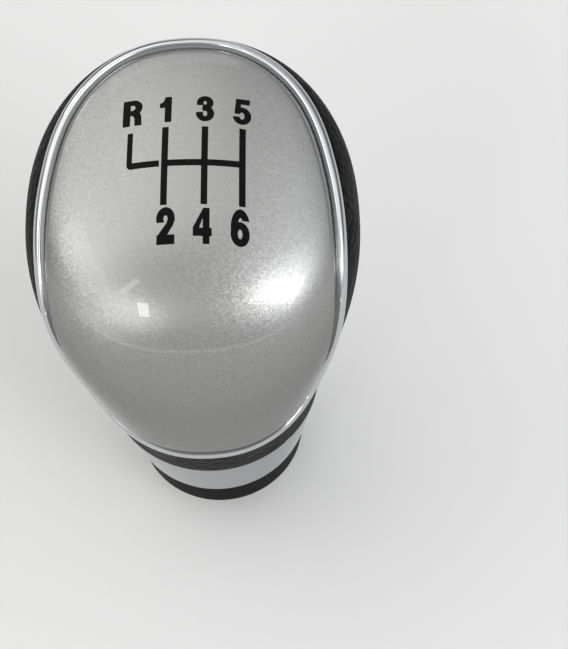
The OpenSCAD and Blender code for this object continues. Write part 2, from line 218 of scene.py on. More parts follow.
def seam_loop(columns):
    t = np.linspace(0, 1, SEAM_POINTS)
    u = SEAM_U0 + (SEAM_U1 - SEAM_U0) * (1 - np.cos(np.pi * t)) / 2
    line = seam_point(u)
    run = np.concatenate([[0], np.cumsum(np.linalg.norm(np.diff(line, axis=0), axis=1))])
    half = columns // 2
    k = np.arange(columns)
    j = np.where(k > half, columns - k, k)
    tt = np.interp(run[-1] * j / half, run, t)
    loop = seam_point(SEAM_U0 + (SEAM_U1 - SEAM_U0) * (1 - np.cos(np.pi * tt)) / 2)
    loop[k > half, 0] *= -1
    return loop

def seam_frame(columns):
    loop = seam_loop(columns)
    way = np.roll(loop, -1, axis=0) - np.roll(loop, 1, axis=0)
    return loop, unit(np.cross(normal(loop), way))

def seam_inset(loop, side, inset, depth):
    return below_head(loop + inset * side, np.full(len(loop), float(depth)))

print("parting line from", round(SEAM_U0, 3), "to", round(SEAM_U1, 3))

# %% [markdown]
# ## Turning rows of points into a mesh
# Each shell is a stack of rows with the same number of points. Neighbouring rows are joined
# by quads. The corners are marked sharp by their angle, so that flat and round parts shade
# as they should.

# %% Helpers for meshes
SHARP = 40

def make_object(name, verts, faces, sharp=SHARP):
    mesh = bpy.data.meshes.new(name)
    mesh.from_pydata([tuple(v) for v in np.asarray(verts) * MM], [], faces)
    mesh.validate()
    mesh.shade_smooth()
    mesh.set_sharp_from_angle(angle=math.radians(sharp))
    piece = bpy.data.objects.new(name, mesh)
    bpy.context.collection.objects.link(piece)
    return piece

def skin(rows, closed, first=None, last=None):
    m, n = len(rows), len(rows[0])
    verts = np.concatenate(rows)
    faces = []
    for i in range(m if closed else m - 1):
        a0, b0 = i * n, (i + 1) % m * n
        for j in range(n):
            k = (j + 1) % n
            faces.append((a0 + j, b0 + j, b0 + k, a0 + k))
    if first is not None:
        verts = np.concatenate([verts, [first]])
        faces += [(len(verts) - 1, j, (j + 1) % n) for j in range(n)]
    if last is not None:
        verts = np.concatenate([verts, [last]])
        base = (m - 1) * n
        faces += [(len(verts) - 1, base + (j + 1) % n, base + j) for j in range(n)]
    return verts, faces

def slerp(a, b, t):
    turn = np.arccos(np.clip((a * b).sum(-1, keepdims=True), -1, 1))
    return (np.sin(turn * (1 - t)) * a + np.sin(turn * t) * b) / np.sin(turn)

# %% Outward faces
def face_outwards(piece):
    bm = bmesh.new()
    bm.from_mesh(piece.data)
    bmesh.ops.recalc_face_normals(bm, faces=bm.faces)
    bm.to_mesh(piece.data)
    bm.free()

# %% [markdown]
# ## The grip
# The grip is a soft-touch shell, 2.4 mm thick. Its rows run from the parting line down to the
# round neck, and its edges are rolled a little, as moulded soft plastic is.

# %% Build the grip cover
SHELL_T = 2.4
SEAT_FIT = 0.1
GRIP_EDGE = 0.35
EDGE_SOFT = 0.3
ROW_CROWDING = 1.1

def build_grip(columns=240, rows=96, inner_rows=24):
    loop, side = seam_frame(columns)
    edge, soft = GRIP_EDGE, GRIP_EDGE * EDGE_SOFT
    angle = 2 * np.pi * np.arange(columns) / columns
    ring = lambda r, z: np.stack([r * np.sin(angle), -r * np.cos(angle), 0 * angle + z], axis=-1)
    start = unit(seam_inset(loop, side, -SEAT_FIT, 0) - EYE)
    end = unit(ring(NECK_R, NECK_Z) - EYE)
    def row(t, depth):
        return below_head(EYE + slerp(start, end, t), np.full(columns, float(depth)))
    outer = [seam_inset(loop, side, -SEAT_FIT, edge),
             seam_inset(loop, side, -SEAT_FIT - soft, soft),
             seam_inset(loop, side, -SEAT_FIT - edge, 0)]
    outer += [row((i / rows) ** ROW_CROWDING, 0) for i in range(2, rows)]
    outer += [ring(NECK_R, NECK_Z + edge), ring(NECK_R - soft, NECK_Z + soft),
              ring(NECK_R - edge, NECK_Z)]
    inner = [ring(NECK_R - SHELL_T, NECK_Z)]
    inner += [row(i / inner_rows, SHELL_T) for i in range(inner_rows - 1, 0, -1)]
    inner += [seam_inset(loop, side, -SEAT_FIT, SHELL_T)]
    verts, faces = skin(outer + inner, closed=True)
    piece = make_object("grip_shell", verts, faces)
    face_outwards(piece)
    return piece

grip = build_grip()
print("grip:", len(grip.data.polygons), "faces")

# %% [markdown]
# ## The bright frame
# The frame is one bead that follows the parting line, with a ledge below the face.

# %% Build the trim
TRIM_W = 2.1
TRIM_PROUD = 0.5
TRIM_FULLNESS = 0.8
LEDGE_W = 1.5
LEDGE_DEPTH = 1.3
ROLL_STEPS = 13

def build_trim(columns=480):
    loop, side = seam_frame(columns)
    arc = np.linspace(0, np.pi, ROLL_STEPS)
    crown = [(TRIM_W * (1 - math.cos(a)) / 2, -TRIM_PROUD * math.sin(a) ** TRIM_FULLNESS)
             for a in arc]
    section = [(0, SHELL_T)] + crown + [(TRIM_W, LEDGE_DEPTH),
        (TRIM_W + LEDGE_W, LEDGE_DEPTH), (TRIM_W + LEDGE_W, SHELL_T)]
    rows = [seam_inset(loop, side, a, b) for a, b in section]
    verts, faces = skin(rows, closed=True)
    piece = make_object("trim_bead", verts, faces, sharp=50)
    face_outwards(piece)
    return piece

trim = build_trim()
print("trim:", len(trim.data.polygons), "faces")

# %% [markdown]
# ## The face
# The face is a domed plate that rolls down at its rim, so a dark line stands between it and
# the bright frame. Four posts behind it are pushed into the core's bosses.

# %% Build the face plate
RIM_IN = TRIM_W + SEAT_FIT
EDGE_W = 2.0
EDGE_H = 1.0
EDGE_CURVE = 1.6
REBATE_IN = TRIM_W + LEDGE_W + SEAT_FIT
REBATE_DEPTH = LEDGE_DEPTH - SEAT_FIT

def build_dome(columns=360, rows=90, inner_rows=16):
    loop, side = seam_frame(columns)
    pole = np.broadcast_to(FACE_POLE, (columns, 3))
    def row(t, depth, inset):
        rim = unit(seam_inset(loop, side, inset, 0) - EYE)
        return below_head(EYE + slerp(pole, rim, t), np.full(columns, float(depth)))
    outer = [row(i / rows, 0, RIM_IN + EDGE_W) for i in range(1, rows)]
    outer += [seam_inset(loop, side, RIM_IN + EDGE_W * (1 - s), EDGE_H * s ** EDGE_CURVE)
              for s in np.linspace(0, 1, ROLL_STEPS)]
    inner = [seam_inset(loop, side, RIM_IN, REBATE_DEPTH),
             seam_inset(loop, side, REBATE_IN, REBATE_DEPTH)]
    inner += [row(i / inner_rows, SHELL_T, REBATE_IN) for i in range(inner_rows, 0, -1)]
    top = on_head(EYE + FACE_POLE)
    under = below_head(EYE + FACE_POLE, np.array(SHELL_T))
    verts, faces = skin(outer + inner, closed=False, first=top, last=under)
    piece = make_object("face_dome", verts, faces)
    face_outwards(piece)
    return piece

# %% Stand the posts behind it
POST_R = 2.0
POST_L = 8.0
POST_ROOT = 1.0
POST_UP = 10.0
POST_OUT = 14.0
POST_CHAMFER = 0.4
ACROSS = np.array([1.0, 0.0, 0.0])
FACE_UP = np.cross(FACE_POLE, ACROSS)

def build_post(foot, sides=48):
    home = np.linalg.norm(meet(foot, FACE_POLE, EYE_NEAR, EYE_FAR) - foot)
    low, high = home - SHELL_T - POST_L, home - SHELL_T + POST_ROOT
    angle = 2 * np.pi * np.arange(sides)[:, None] / sides
    spoke = np.cos(angle) * ACROSS + np.sin(angle) * FACE_UP
    rows = [foot + r * spoke + z * FACE_POLE for r, z in
            ((POST_R - POST_CHAMFER, low), (POST_R, low + POST_CHAMFER), (POST_R, high))]
    verts, faces = skin(rows, closed=False, first=foot + low * FACE_POLE,
                        last=foot + high * FACE_POLE)
    piece = make_object("post", verts, faces)
    face_outwards(piece)
    return piece

def unite(piece, tool):
    modifier = piece.modifiers.new("unite", "BOOLEAN")
    modifier.operation = "UNION"
    modifier.solver = "MANIFOLD"
    modifier.object = tool
    graph = bpy.context.evaluated_depsgraph_get()
    mesh = bpy.data.meshes.new_from_object(piece.evaluated_get(graph))
    piece.modifiers.remove(modifier)
    piece.data = mesh
    bpy.data.objects.remove(tool)

def build_face():
    piece = build_dome()
    for foot in (EYE + POST_UP * FACE_UP, EYE - POST_UP * FACE_UP,
                 EYE + POST_OUT * ACROSS, EYE - POST_OUT * ACROSS):
        unite(piece, build_post(foot))
    piece.data.set_sharp_from_angle(angle=math.radians(SHARP))
    return piece

face = build_face()
print("face:", len(face.data.polygons), "faces")

# %% [markdown]
# ## Turned parts and coils
# The skirt is a turned form: one outline carried round an axis. The spring is a wire carried
# along a helix. Geometry Nodes suit both, because the form follows a rule and its sizes stay
# named inputs. Each result is turned into a plain mesh before it joins the model.

# %% Helpers for node trees
def new_tree(name, sockets):
    tree = bpy.data.node_groups.new(name, "GeometryNodeTree")
    tree.interface.new_socket("Geometry", in_out="INPUT", socket_type="NodeSocketGeometry")
    for label, kind in sockets:
        tree.interface.new_socket(label, in_out="INPUT", socket_type=kind)
    tree.interface.new_socket("Geometry", in_out="OUTPUT", socket_type="NodeSocketGeometry")
    return tree

def put(tree, kind, links=(), **values):
    node = tree.nodes.new(kind)
    for key, value in values.items():
        setattr(node, key, value)
    for socket, source in dict(links).items():
        if isinstance(source, bpy.types.NodeSocket):
            tree.links.new(source, node.inputs[socket])
        else:
            node.inputs[socket].default_value = source
    return node

def finish_tree(tree, geometry, material):
    whole = put(tree, "GeometryNodeRealizeInstances", {"Geometry": geometry})
    dressed = put(tree, "GeometryNodeSetMaterial",
                  {"Geometry": whole.outputs[0], "Material": material})
    put(tree, "NodeGroupOutput", {"Geometry": dressed.outputs[0]})

def bake_tree(tree, name, base, values):
    source = bpy.data.objects.new(name + "_source", base)
    bpy.context.collection.objects.link(source)
    modifier = source.modifiers.new("nodes", "NODES")
    modifier.node_group = tree
    for item in tree.interface.items_tree:
        if item.in_out == "INPUT" and item.name in values:
            modifier[item.identifier] = values[item.name]
    source.update_tag()
    graph = bpy.context.evaluated_depsgraph_get()
    mesh = bpy.data.meshes.new_from_object(source.evaluated_get(graph))
    source.modifiers.remove(modifier)
    bpy.data.objects.remove(source)
    piece = bpy.data.objects.new(name, mesh)
    mesh.name = name
    bpy.context.collection.objects.link(piece)
    return piece

# %% A tree that carries an outline round the axis
def turning_tree():
    tree = new_tree("turn_outline", [("Steps", "NodeSocketInt"), ("Points", "NodeSocketInt"),
                                     ("Material", "NodeSocketMaterial")])
    source = put(tree, "NodeGroupInput").outputs
    rows = put(tree, "ShaderNodeMath", {0: source["Steps"], 1: 1.0}, operation="ADD")
    grid = put(tree, "GeometryNodeMeshGrid",
               {"Vertices X": rows.outputs[0], "Vertices Y": source["Points"]})
    index = put(tree, "GeometryNodeInputIndex").outputs[0]
    along = put(tree, "ShaderNodeMath", {0: index, 1: source["Points"]}, operation="MODULO")
    step = put(tree, "ShaderNodeMath", {0: index, 1: source["Points"]}, operation="DIVIDE")
    whole = put(tree, "ShaderNodeMath", {0: step.outputs[0]}, operation="FLOOR")
    share = put(tree, "ShaderNodeMath", {0: whole.outputs[0], 1: source["Steps"]},
                operation="DIVIDE")
    angle = put(tree, "ShaderNodeMath", {0: share.outputs[0], 1: math.tau}, operation="MULTIPLY")
    spot = put(tree, "GeometryNodeInputPosition").outputs[0]
    outline = put(tree, "GeometryNodeSampleIndex", {"Geometry": source["Geometry"]},
                  data_type="FLOAT_VECTOR")
    tree.links.new(spot, outline.inputs["Value"])
    tree.links.new(along.outputs[0], outline.inputs["Index"])
    turned = put(tree, "ShaderNodeVectorRotate",
                 {"Vector": outline.outputs[0], "Angle": angle.outputs[0]}, rotation_type="Z_AXIS")
    placed = put(tree, "GeometryNodeSetPosition",
                 {"Geometry": grid.outputs["Mesh"], "Position": turned.outputs[0]})
    closed = put(tree, "GeometryNodeMergeByDistance",
                 {"Geometry": placed.outputs[0], "Distance": 1e-6})
    finish_tree(tree, closed.outputs[0], source["Material"])
    return tree

TURN = turning_tree()

def turned_piece(name, outline, steps=192, sharp=35):
    loop = outline + outline[:1]
    base = bpy.data.meshes.new(name + "_outline")
    base.from_pydata([(r * MM, 0, z * MM) for r, z in loop], [], [])
    piece = bake_tree(TURN, name, base, {"Steps": steps, "Points": len(loop)})
    face_outwards(piece)
    piece.data.shade_smooth()
    piece.data.set_sharp_from_angle(angle=math.radians(sharp))
    return piece

# %% A tree that coils a wire
TURN_STEPS = 48.0

def coiling_tree():
    tree = new_tree("coil_wire", [("Radius", "NodeSocketFloat"), ("Wire", "NodeSocketFloat"),
                                  ("Low", "NodeSocketFloat"), ("High", "NodeSocketFloat"),
                                  ("Turns", "NodeSocketInt"), ("Material", "NodeSocketMaterial")])
    source = put(tree, "NodeGroupInput").outputs
    steps = put(tree, "ShaderNodeMath", {0: source["Turns"], 1: TURN_STEPS},
                operation="MULTIPLY")
    count = put(tree, "ShaderNodeMath", {0: steps.outputs[0], 1: 1.0}, operation="ADD")
    line = put(tree, "GeometryNodeMeshLine", {"Count": count.outputs[0]})
    index = put(tree, "GeometryNodeInputIndex").outputs[0]
    turn = put(tree, "ShaderNodeMath", {0: index, 1: TURN_STEPS},
               operation="DIVIDE").outputs[0]
    angle = put(tree, "ShaderNodeMath", {0: turn, 1: math.tau}, operation="MULTIPLY").outputs[0]
    middle = put(tree, "ShaderNodeMath", {0: source["Turns"], 1: 1.0}, operation="SUBTRACT")
    half = put(tree, "ShaderNodeMath", {0: source["Wire"], 1: 0.5}, operation="MULTIPLY")
    low = put(tree, "ShaderNodeMath", {0: source["Low"], 1: half.outputs[0]}, operation="ADD")
    high = put(tree, "ShaderNodeMath", {0: source["High"], 1: half.outputs[0]},
               operation="SUBTRACT")
    low_seat = put(tree, "ShaderNodeMath", {0: low.outputs[0], 1: source["Wire"]}, operation="ADD")
    high_seat = put(tree, "ShaderNodeMath", {0: high.outputs[0], 1: source["Wire"]},
                    operation="SUBTRACT")
    first = put(tree, "ShaderNodeMapRange", {"Value": turn, "From Min": 0.0, "From Max": 1.0,
                "To Min": low.outputs[0], "To Max": low_seat.outputs[0]})
    open_part = put(tree, "ShaderNodeMapRange", {"Value": turn, "From Min": 1.0,
                    "From Max": middle.outputs[0], "To Min": low_seat.outputs[0],
                    "To Max": high_seat.outputs[0]}, clamp=False)
    last = put(tree, "ShaderNodeMapRange", {"Value": turn, "From Min": middle.outputs[0],
               "From Max": source["Turns"], "To Min": high_seat.outputs[0],
               "To Max": high.outputs[0]})
    lower = put(tree, "ShaderNodeMath", {0: first.outputs[0], 1: open_part.outputs[0]},
                operation="MAXIMUM")
    past = put(tree, "ShaderNodeMath", {0: turn, 1: middle.outputs[0]}, operation="GREATER_THAN")
    rise = put(tree, "ShaderNodeMix", {"Factor": past.outputs[0], "A": lower.outputs[0],
               "B": last.outputs[0]})
    cos = put(tree, "ShaderNodeMath", {0: angle}, operation="COSINE").outputs[0]
    sin = put(tree, "ShaderNodeMath", {0: angle}, operation="SINE").outputs[0]
    x = put(tree, "ShaderNodeMath", {0: cos, 1: source["Radius"]}, operation="MULTIPLY")
    y = put(tree, "ShaderNodeMath", {0: sin, 1: source["Radius"]}, operation="MULTIPLY")
    spot = put(tree, "ShaderNodeCombineXYZ",
               {"X": x.outputs[0], "Y": y.outputs[0], "Z": rise.outputs[0]})
    helix = put(tree, "GeometryNodeSetPosition",
                {"Geometry": line.outputs[0], "Position": spot.outputs[0]})
    path = put(tree, "GeometryNodeMeshToCurve", {"Mesh": helix.outputs[0]})
    ring = put(tree, "GeometryNodeCurvePrimitiveCircle", {"Resolution": 16})
    tree.links.new(half.outputs[0], ring.inputs["Radius"])
    wire = put(tree, "GeometryNodeCurveToMesh", {"Curve": path.outputs[0],
               "Profile Curve": ring.outputs[0], "Fill Caps": True})
    smooth = put(tree, "GeometryNodeSetShadeSmooth", {"Geometry": wire.outputs[0]})
    finish_tree(tree, smooth.outputs[0], source["Material"])
    return tree

COIL = coiling_tree()

# %% Sizes below the head, in millimetres
TUBE_R = 8.8
SKIRT_UNDER_Z = 38.8
SKIRT_T = 1.8
MOUTH_Z = 21.0
RING_R = 18.95
RING_GAP = 0.3
RING_TRAVEL = 8.0
LIP_T = 0.7
LIP_IN = 0.5
LIP_RISE = 2.0
LIP_PULL = 0.6
LIP_STEPS = 10
BORE_CORNER = 0.15
TOP_CORNER = 0.35
WIRE_D = 1.4
SPRING_R = 12.3
SPRING_LOW = 11.6
SPRING_HIGH = 38.7

def rounded(corner, before, after, radius, steps):
    corner, before, after = (np.array(p, float) for p in (corner, before, after))
    a = corner + unit(before - corner) * radius
    b = corner + unit(after - corner) * radius
    t = np.linspace(0, 1, steps)[:, None]
    curve = (1 - t) ** 2 * a + 2 * (1 - t) * t * corner + t ** 2 * b
    return [tuple(p) for p in curve]

# %% Turn the skirt
def build_skirt():
    bore = RING_R + RING_GAP
    top_in, top_out = (TUBE_R + SEAT_FIT, NECK_Z), (NECK_R, NECK_Z)
    lip_out, lip_in = (bore + LIP_T, MOUTH_Z), (bore, MOUTH_Z)
    outline = [(TUBE_R + SEAT_FIT, SKIRT_UNDER_Z), (NECK_R - SKIRT_T, SKIRT_UNDER_Z),
               (bore, MOUTH_Z + RING_TRAVEL + RING_GAP)]
    outline += rounded(lip_in, outline[-1], lip_out, BORE_CORNER, 4)
    wall = np.array(top_out) - np.array(lip_out)
    rise = wall * LIP_RISE / wall[1]
    foot, top = np.array((bore + LIP_T - LIP_IN, MOUTH_Z)), np.array(lip_out) + rise
    lip = cubic(foot, foot + np.array((LIP_IN * LIP_PULL, 0)), top - rise * LIP_PULL, top,
                np.linspace(0, 1, LIP_STEPS))
    outline += [tuple(p) for p in lip]
    outline += rounded(top_out, lip_out, top_in, TOP_CORNER, 6)
    outline += [top_in]
    return turned_piece("skirt_shell", outline)

skirt = build_skirt()
print("skirt:", len(skirt.data.polygons), "faces")

# %% Coil the return spring
def build_spring():
    base = bpy.data.meshes.new("spring_seed")
    return bake_tree(COIL, "spring_coil", base, {
        "Radius": SPRING_R * MM, "Wire": WIRE_D * MM, "Low": SPRING_LOW * MM,
        "High": SPRING_HIGH * MM, "Turns": 7})

spring = build_spring()
print("spring:", len(spring.data.polygons), "faces")

# %% [markdown]
# ## The threaded insert
# The insert is a brass bush that is moulded into the core. Its bore has the M12 thread of the
# lever, and its outside is knurled, with two grooves, so that it can neither turn nor slip out.
# A thread is a radius that depends on height and angle, so it is made as rows of rings too.

# %% Cut the insert's thread
THREAD_R = 5.32
THREAD_DEPTH = 0.68
THREAD_PITCH = 1.25
THREAD_LEAD = 0.3
ROOT_FLAT = 1 / 8
CREST_FLAT = 1 / 4
INSERT_R = 8.0
INSERT_L = 20.0
INSERT_Z = NECK_Z + 3.0
GROOVE_D = 0.6
GROOVE_W = 2.4
KNURL_D = 0.2
KNURL_TEETH = 36
INSERT_CHAMFER = 0.4

def thread_radius(z, angle):
    phase = (z / THREAD_PITCH - angle / (2 * np.pi)) % 1
    ridge = (np.abs(2 * phase - 1) - CREST_FLAT) / (1 - CREST_FLAT - ROOT_FLAT)
    radius = THREAD_R + THREAD_DEPTH * np.clip(ridge, 0, 1)
    mouth = min(z, INSERT_L - z)
    return np.maximum(radius, THREAD_R + THREAD_DEPTH + THREAD_LEAD - mouth)

def build_insert(columns=144, steps_per_turn=12):
    angle = 2 * np.pi * np.arange(columns) / columns
    tooth = np.abs(2 * (angle * KNURL_TEETH / (2 * np.pi) % 1) - 1)
    def ring(radius, z):
        return np.stack([radius * np.cos(angle), radius * np.sin(angle),
                         0 * angle + INSERT_Z + z], axis=-1)
    count = round(INSERT_L / THREAD_PITCH * steps_per_turn)
    rows = [ring(thread_radius(z, angle), z) for z in np.linspace(INSERT_L, 0, count + 1)]
    knurled = INSERT_R - KNURL_D * tooth
    rows += [ring(INSERT_R - INSERT_CHAMFER, 0), ring(knurled, INSERT_CHAMFER)]
    for i in (1, 2):
        low = INSERT_L * i / 3 - GROOVE_W / 2
        high = low + GROOVE_W
        rows += [ring(knurled, low), ring(INSERT_R - GROOVE_D, low + 0.1),
                 ring(INSERT_R - GROOVE_D, high - 0.1), ring(knurled, high)]
    rows += [ring(knurled, INSERT_L - INSERT_CHAMFER), ring(INSERT_R - INSERT_CHAMFER, INSERT_L)]
    verts, faces = skin(rows, closed=True)
    piece = make_object("insert_bush", verts, faces, sharp=30)
    face_outwards(piece)
    return piece

insert = build_insert()
print("insert:", len(insert.data.polygons), "faces")

# %% [markdown]
# ## The printed shift pattern
# The pattern is printed in black on the crown. Each stroke is described by how far a point
# lies outside it, so strokes are joined by taking the smaller distance and cut by taking the
# larger one. A fine grid is then cut along the line where that distance is zero, and the
# cells inside are laid on the head's surface as a thin film of ink.

# %% Shapes as distances
def in_box(p, low, high):
    low, high = np.array(low, float), np.array(high, float)
    away = np.abs(p - (low + high) / 2) - (high - low) / 2
    return np.maximum(away[..., 0], away[..., 1])

def in_polygon(p, corners):
    corners = np.array(corners, float)
    nearest = np.full(p.shape[:-1], 1e9)
    inside = np.zeros(p.shape[:-1], bool)
    for a, b in zip(corners, np.roll(corners, -1, axis=0)):
        edge = b - a
        share = np.clip(((p - a) @ edge) / (edge @ edge), 0, 1)
        nearest = np.minimum(nearest, np.linalg.norm(p - a - share[..., None] * edge, axis=-1))
        crosses = (a[1] > p[..., 1]) != (b[1] > p[..., 1])
        with np.errstate(divide="ignore", invalid="ignore"):
            at = a[0] + (p[..., 1] - a[1]) / (b[1] - a[1]) * edge[0]
        inside ^= crosses & (p[..., 0] < at)
    return np.where(inside, -nearest, nearest)

def in_oval(p, centre, reach):
    q = (p - np.array(centre)) / np.array(reach)
    return (np.linalg.norm(q, axis=-1) - 1) * min(reach)

def in_band(p, centre, reach, stroke):
    inner = (reach[0] - stroke[0], reach[1] - stroke[1])
    return np.maximum(in_oval(p, centre, reach), -in_oval(p, centre, inner))

def join(*parts):
    return np.minimum.reduce(parts)

def cut(part, *tools):
    return np.maximum.reduce([part] + [-tool for tool in tools])

# %% The figures, each in a box one wide and one high
STEM = 0.36
BEAM = 0.20

def figure_1(p):
    return join(in_box(p, (0.46, 0), (1, 1)),
                in_polygon(p, [(0, 0.60), (0.5, 0.60), (0.5, 1), (0.46, 1), (0.36, 0.84),
                               (0.2, 0.76), (0, 0.74)]))

def figure_2(p):
    hook = cut(in_band(p, (0.5, 0.69), (0.5, 0.31), (STEM, BEAM)),
               in_box(p, (-0.1, 0.1), (0.52, 0.60)), in_box(p, (0.4, 0.1), (1.1, 0.62)))
    slope = in_polygon(p, [(1, 0.69), (0.64, 0.69), (0.58, 0.56), (0.12, 0.26), (0, 0.05),
                           (0.03, 0), (0.5, 0.1), (0.62, 0.28), (0.93, 0.52)])
    return join(hook, slope, in_box(p, (0.02, 0), (1, 0.23)))

def figure_3(p):
    upper = in_band(p, (0.48, 0.74), (0.46, 0.26), (STEM * 0.95, BEAM * 0.85))
    lower = in_band(p, (0.49, 0.30), (0.50, 0.30), (STEM, BEAM * 0.85))
    rings = cut(join(upper, lower), in_box(p, (-0.1, 0.345), (0.40, 0.66)))
    return join(rings, in_box(p, (0.34, 0.44), (0.62, 0.60)))

def figure_4(p):
    body = in_polygon(p, [(0, 0.22), (0.54, 0.22), (0.54, 0), (0.88, 0), (0.88, 0.22),
                          (1, 0.22), (1, 0.42), (0.88, 0.42), (0.88, 1), (0.56, 1), (0, 0.44)])
    return cut(body, in_polygon(p, [(0.30, 0.42), (0.54, 0.42), (0.54, 0.78)]))

def figure_5(p):
    bowl = cut(in_band(p, (0.48, 0.33), (0.52, 0.33), (STEM, BEAM * 0.85)),
               in_box(p, (-0.1, 0.28), (0.42, 0.47)), in_box(p, (-0.1, 0.4), (0.2, 0.8)))
    back = in_polygon(p, [(0.14, 1), (0.42, 1), (0.38, 0.56), (0.36, 0.42), (0.05, 0.42)])
    return join(bowl, back, in_box(p, (0.14, 0.82), (0.92, 1)))

def figure_6(p):
    bowl = in_band(p, (0.5, 0.32), (0.5, 0.32), (STEM, BEAM * 0.85))
    sweep = cut(in_band(p, (0.52, 0.5), (0.52, 0.5), (STEM, BEAM)),
                in_box(p, (0.5, -0.1), (1.2, 0.71)), in_box(p, (0.3, -0.1), (1.2, 0.5)))
    return join(bowl, sweep)

def letter_r(p):
    bowl = cut(in_band(p, (0.50, 0.71), (0.47, 0.29), (STEM * 0.95, BEAM * 0.9)),
               in_box(p, (-0.1, 0.3), (0.5, 1.1)))
    bars = join(in_box(p, (0.1, 0.82), (0.5, 1)), in_box(p, (0.1, 0.42), (0.5, 0.59)))
    leg = in_polygon(p, [(0.45, 0.5), (0.85, 0.50), (0.93, 0.34), (0.96, 0), (0.62, 0),
                         (0.60, 0.30), (0.45, 0.44)])
    return join(in_box(p, (0, 0), (STEM, 1)), bowl, bars, leg)

# %% Lay out the pattern
LINE_W = 1.2
INK_SPREAD = 0.05
CROSS_W = 1.3
REVERSE_W = 1.0
COLUMNS = {"reverse": -10.33, "left": -3.82, "middle": 3.5, "right": 10.42}
CROSS_Y = 10.73
GATE_TOP = 18.47
GATE_END = 2.22
REVERSE_TOP = 17.85
REVERSE_END = -4.81
SLANT = 0.025
SLANT_FROM = 8.4
BEND_IN = 0.3
UPPER_FIGURES = [(letter_r, -11.85, 19.54, 3.6, 5.6), (figure_1, -4.99, 19.72, 2.15, 5.4),
                 (figure_3, 1.88, 19.71, 3.2, 5.5), (figure_5, 8.77, 19.51, 3.15, 5.55)]
LOWER_FIGURES = [(figure_2, -4.98, -5.13, 3.2, 6.78), (figure_4, 1.6, -5.16, 3.3, 6.57),
                 (figure_6, 8.4, -5.17, 3.25, 6.75)]

def sag(x):
    return 0.02 - 0.028 * x - 0.0045 * x * x

def pattern_distance(p):
    half, low, thin = LINE_W / 2, CROSS_W / 2, REVERSE_W / 2
    flat = p - np.stack([SLANT * (p[..., 1] - SLANT_FROM), sag(p[..., 0])], axis=-1)
    parts = [in_box(flat, (COLUMNS[name] - half, GATE_END), (COLUMNS[name] + half, GATE_TOP))
             for name in ("left", "middle", "right")]
    parts.append(in_box(flat, (COLUMNS["left"], CROSS_Y - low),
                        (COLUMNS["right"], CROSS_Y + low)))
    reverse = COLUMNS["reverse"]
    bend = np.array((reverse + BEND_IN, CROSS_Y + BEND_IN))
    outer = in_box(flat, (reverse - thin, CROSS_Y - low), (REVERSE_END, REVERSE_TOP))
    inner = in_box(flat, (reverse + thin, CROSS_Y + low), (0, GATE_TOP + 1))
    corner = cut(in_box(flat, (reverse - 1, CROSS_Y - 1), bend),
                 in_oval(flat, bend, (thin + BEND_IN, low + BEND_IN)))
    parts.append(cut(outer, inner, corner))
    for figure, left, foot, wide, tall in UPPER_FIGURES + LOWER_FIGURES:
        spot = (flat - np.array((left, foot))) / np.array((wide, tall))
        parts.append(figure(spot) * wide - INK_SPREAD)
    return join(*parts)

# %% Cut the grid along the edge of the ink
def cut_cells(distance, xs, ys):
    spots, keys, faces = [], {}, []
    def corner(i, j):
        key = (i, j)
        if key not in keys:
            keys[key] = len(spots)
            spots.append((xs[i], ys[j]))
        return keys[key]
    def between(a, b):
        key = (min(a, b), max(a, b))
        if key not in keys:
            da, db = distance[a], distance[b]
            t = da / (da - db)
            keys[key] = len(spots)
            spots.append((xs[a[0]] + t * (xs[b[0]] - xs[a[0]]),
                          ys[a[1]] + t * (ys[b[1]] - ys[a[1]])))
        return keys[key]
    near = np.argwhere(np.minimum.reduce([distance[:-1, :-1], distance[1:, :-1],
                                          distance[1:, 1:], distance[:-1, 1:]]) < 0)
    for i, j in near:
        ring = [(i, j), (i + 1, j), (i + 1, j + 1), (i, j + 1)]
        face = []
        for a, b in zip(ring, ring[1:] + ring[:1]):
            if distance[a] < 0:
                face.append(corner(*a))
            if (distance[a] < 0) != (distance[b] < 0):
                face.append(between(a, b))
        if len(face) > 2:
            faces.append(face)
    return np.array(spots), faces

CROWN_FOOT = 80.0
INK_T = 0.03
GRID_STEP = 0.1
GRID_LOW = (-12.6, -6.6)
GRID_HIGH = (13.0, 27.0)
ON_EDGE = 1e-7

def crown_point(xy):
    start = np.stack([xy[:, 0], xy[:, 1], np.full(len(xy), CROWN_FOOT)], axis=-1)
    upward = np.broadcast_to((0.0, 0.0, 1.0), start.shape)
    return meet(start, upward, 0, HEAD_TOP - CROWN_FOOT)

def build_pattern():
    xs = np.arange(GRID_LOW[0], GRID_HIGH[0], GRID_STEP)
    ys = np.arange(GRID_LOW[1], GRID_HIGH[1], GRID_STEP)
    grid = np.stack(np.meshgrid(xs, ys, indexing="ij"), axis=-1)
    distance = pattern_distance(grid)
    distance = np.where(np.abs(distance) < ON_EDGE, ON_EDGE, distance)
    spots, faces = cut_cells(distance, xs, ys)
    base = crown_point(spots)
    out = normal(base)
    count = len(spots)
    verts = np.concatenate([base + out * INK_T, base - out * INK_T])
    edges = {}
    for face in faces:
        for a, b in zip(face, face[1:] + face[:1]):
            edges[(a, b)] = True
    rim = [(a, b) for a, b in edges if (b, a) not in edges]
    shell = faces + [[v + count for v in reversed(face)] for face in faces]
    shell += [[b, a, a + count, b + count] for a, b in rim]
    piece = make_object("shift_pattern", verts, shell)
    return piece

pattern = build_pattern()
print("shift pattern:", len(pattern.data.polygons), "faces")

# %% [markdown]
# ## Finishes
# Silver paint is a metal film with small flakes under a glossy clear coat. The grip has a fine
# leather grain, with painted light on its pebble tops and painted shade in its hollows. The frame
# and the skirt are bright chrome on plastic; the skirt's chrome is a darker copy, as painted shade.
# Effects that several finishes share are made once, as groups.

# %% Helpers for materials
def new_material(name):
    material = bpy.data.materials.new(name)
    material.use_nodes = True
    tree = material.node_tree
    return material, tree, tree.nodes["Principled BSDF"]

